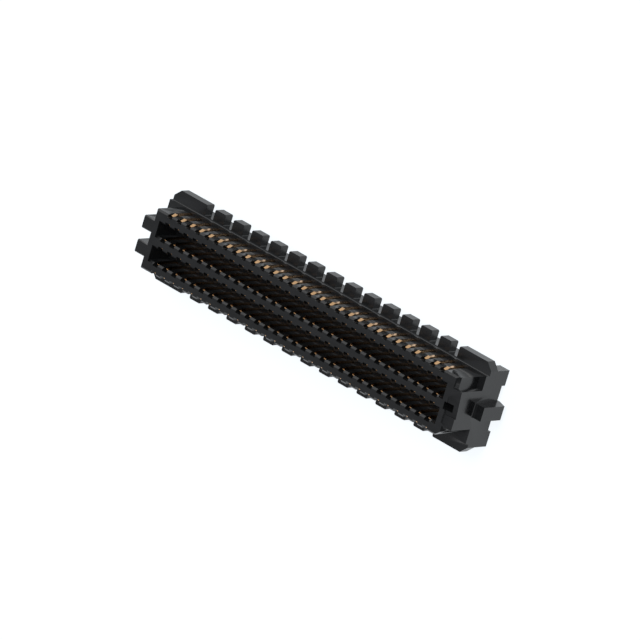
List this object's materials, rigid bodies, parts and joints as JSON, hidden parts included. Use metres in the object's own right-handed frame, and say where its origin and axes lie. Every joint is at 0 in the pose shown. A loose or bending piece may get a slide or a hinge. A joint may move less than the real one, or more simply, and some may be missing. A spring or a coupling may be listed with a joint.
{
  "type": "board to board connector",
  "caption": "Plug half of a board to board connector: ribbed plastic strip with rows of formed gold contacts, keyed ends and solder balls underneath.",
  "frame": {"origin": "middle of the contact array, on the plane of the circuit board that the feet stand on", "axes": "+X along the rows towards the end with the broad key and the post, +Y across the rows, +Z away from the circuit board towards the mating half"},
  "size_m": [0.0219, 0.0046, 0.0031],
  "materials": {
    "housing": "moulded, fine grain",
    "contacts": "gold plated",
    "solder": "satin"
  },
  "bodies": {
    "root": {"housing": "housing", "contacts_row_a_bank_1": "contacts", "contacts_row_a_bank_2": "contacts", "contacts_row_a_bank_3": "contacts", "contacts_row_b_bank_1": "contacts", "contacts_row_b_bank_2": "contacts", "contacts_row_b_bank_3": "contacts", "contacts_row_c_bank_1": "contacts", "contacts_row_c_bank_2": "contacts", "contacts_row_c_bank_3": "contacts", "contacts_row_d_bank_1": "contacts", "contacts_row_d_bank_2": "contacts", "contacts_row_d_bank_3": "contacts", "contacts_row_e_bank_1": "contacts", "contacts_row_e_bank_2": "contacts", "contacts_row_e_bank_3": "contacts", "contacts_row_f_bank_1": "contacts", "contacts_row_f_bank_2": "contacts", "contacts_row_f_bank_3": "contacts", "solder_balls_row_a_bank_1": "solder", "solder_balls_row_a_bank_2": "solder", "solder_balls_row_a_bank_3": "solder", "solder_balls_row_b_bank_1": "solder", "solder_balls_row_b_bank_2": "solder", "solder_balls_row_b_bank_3": "solder", "solder_balls_row_c_bank_1": "solder", "solder_balls_row_c_bank_2": "solder", "solder_balls_row_c_bank_3": "solder", "solder_balls_row_d_bank_1": "solder", "solder_balls_row_d_bank_2": "solder", "solder_balls_row_d_bank_3": "solder", "solder_balls_row_e_bank_1": "solder", "solder_balls_row_e_bank_2": "solder", "solder_balls_row_e_bank_3": "solder", "solder_balls_row_f_bank_1": "solder", "solder_balls_row_f_bank_2": "solder", "solder_balls_row_f_bank_3": "solder"}
  },
  "joints": []
}
